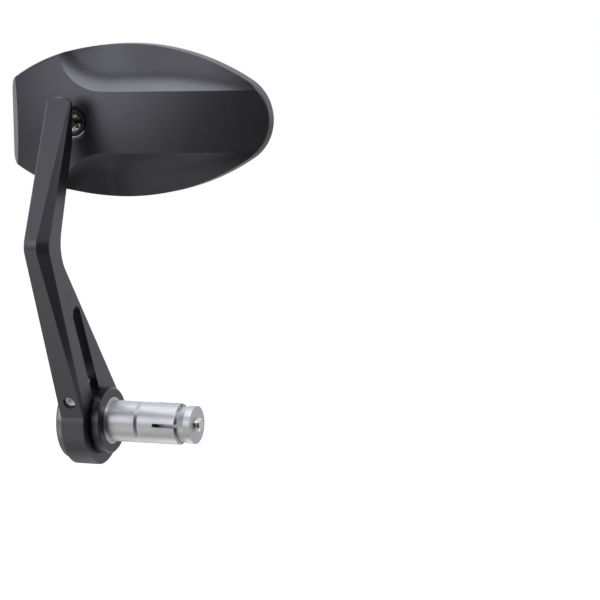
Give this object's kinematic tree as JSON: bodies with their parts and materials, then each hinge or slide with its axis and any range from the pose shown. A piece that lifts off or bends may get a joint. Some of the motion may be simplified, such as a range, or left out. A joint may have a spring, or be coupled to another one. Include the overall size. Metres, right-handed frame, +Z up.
{
  "type": "motorcycle bar end mirror",
  "caption": "Bar end mirror for a motorcycle: an expanding bar plug, a bent clamp-on arm and a teardrop mirror head with a scooped back on a ball joint.",
  "frame": {"origin": "on the handlebar's axis, in the plane of the bar's end face", "axes": "+X along the handlebar into it, +Y towards the rider, where the glass faces, +Z up"},
  "size_m": [0.1166, 0.0732, 0.1809],
  "materials": {
    "black_anodised": "matte black anodised",
    "turned_black": "satin black, turned",
    "steel": "machined steel",
    "chrome_ball": "polished",
    "plain_aluminium": "satin",
    "acetal": "moulded black plastic",
    "rubber": "moulded rubber",
    "foam": "black adhesive foam",
    "mirror_silver": "silvered convex glass"
  },
  "bodies": {
    "bar_mount": {"mount_body": "plain_aluminium", "spacer_collar": "turned_black", "end_cap": "turned_black", "cap_o_ring": "rubber", "draw_bolt": "steel", "bolt_washer": "steel", "expander_sleeve": "plain_aluminium", "expander_cone": "plain_aluminium"},
    "arm": {"arm": "black_anodised", "clamp_screw": "steel"},
    "stud": {"ball_stud": "chrome_ball"},
    "liner": {"ball_liner": "acetal"},
    "head": {"mirror_housing": "black_anodised", "socket_ring": "steel", "ball_cup": "steel", "disc_spring": "steel", "clamp_plate": "steel", "clamp_plate_screws": "steel", "glass_pad": "foam", "mirror_glass": "mirror_silver"}
  },
  "joints": [
    {"name": "arm_swing", "type": "hinge", "parent": "bar_mount", "child": "arm", "pos_m": [0, 0, 0], "axis": [1, 0, 0], "continuous": true},
    {"name": "head_roll", "type": "hinge", "parent": "arm", "child": "stud", "pos_m": [-0.0105, -0.014, 0.1284], "axis": [0, 1, 0], "range_deg": [-45, 45]},
    {"name": "head_pan", "type": "hinge", "parent": "stud", "child": "liner", "pos_m": [-0.0105, -0.014, 0.1284], "axis": [0, 0, 1], "range_deg": [-20, 20]},
    {"name": "head_tilt", "type": "hinge", "parent": "liner", "child": "head", "pos_m": [-0.0105, -0.014, 0.1284], "axis": [1, 0, 0], "range_deg": [-20, 20]}
  ]
}
